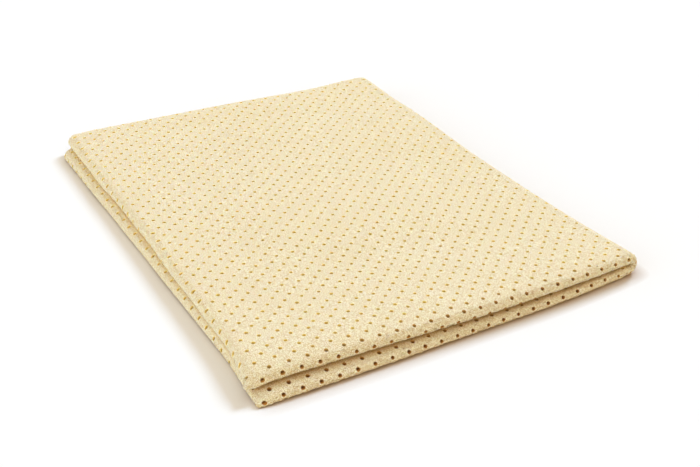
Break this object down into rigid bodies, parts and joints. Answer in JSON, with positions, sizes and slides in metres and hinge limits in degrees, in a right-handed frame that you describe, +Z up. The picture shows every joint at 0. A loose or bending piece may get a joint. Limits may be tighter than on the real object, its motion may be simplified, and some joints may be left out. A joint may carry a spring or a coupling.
{
  "type": "perforated chamois cloth",
  "caption": "Soft perforated chamois cloth folded into a flat rectangular pad that opens like a book along one folded edge, for wiping and drying wet surfaces.",
  "frame": {"origin": "middle of the folded pad's footprint, on the surface it lies on", "axes": "+X along the front fold towards the side fold, +Y from the front fold to the raw back edge, +Z up through the layers"},
  "size_m": [0.2046, 0.2812, 0.0106],
  "materials": {
    "chamois": "cream suede-like perforated nonwoven, matt"
  },
  "bodies": {
    "lower_half": {"bottom_inner_leaf": "chamois", "bottom_outer_leaf": "chamois", "bottom_front_fold": "chamois", "bottom_inner_side_fold": "chamois", "bottom_outer_side_fold": "chamois", "bottom_corner_fold": "chamois"},
    "upper_half": {"top_inner_leaf": "chamois", "top_outer_leaf": "chamois", "top_front_fold": "chamois", "top_inner_side_fold": "chamois", "top_outer_side_fold": "chamois", "top_corner_fold": "chamois"}
  },
  "joints": [
    {"name": "side_fold_hinge", "type": "hinge", "parent": "lower_half", "child": "upper_half", "pos_m": [0.09977, 0, 0.0053], "axis": [0, 1, 0], "range_deg": [0, 180], "deforming": ["bottom_inner_side_fold", "bottom_outer_side_fold", "bottom_corner_fold", "top_inner_side_fold", "top_outer_side_fold", "top_corner_fold"]}
  ]
}
